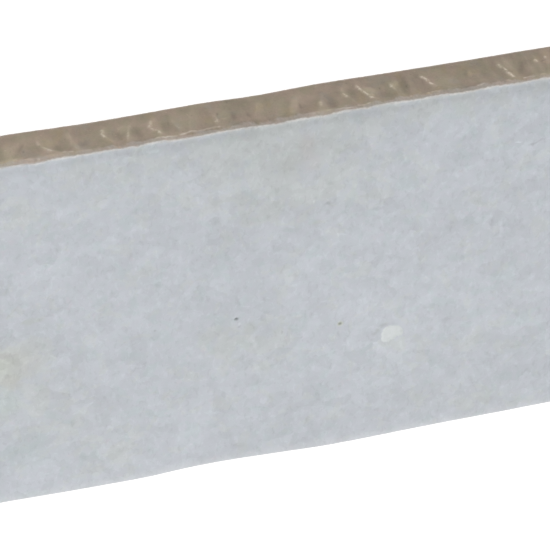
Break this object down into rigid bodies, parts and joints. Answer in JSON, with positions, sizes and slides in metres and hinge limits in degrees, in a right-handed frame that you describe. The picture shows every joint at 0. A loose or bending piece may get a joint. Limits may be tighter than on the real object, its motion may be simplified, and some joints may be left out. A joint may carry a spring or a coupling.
{
  "type": "ceramic tile",
  "caption": "Long narrow strip of glazed stoneware tile with one broken raw edge, rounded pressed edges on its other sides and shallow keying recesses in its back.",
  "frame": {"origin": "centre of the back, on the surface that the tile lies on", "axes": "+X along the strip, +Y across it towards the broken edge, +Z out of the glazed face"},
  "size_m": [0.45, 0.08, 0.0085],
  "materials": {
    "glazed_stoneware": "matt pale blue-grey glaze with faint mottling on the face and the rounded arrises; bare grey-brown fired body on the broken edge, the sides below the glaze and the back"
  },
  "bodies": {
    "root": {"tile": "glazed_stoneware"}
  },
  "joints": []
}
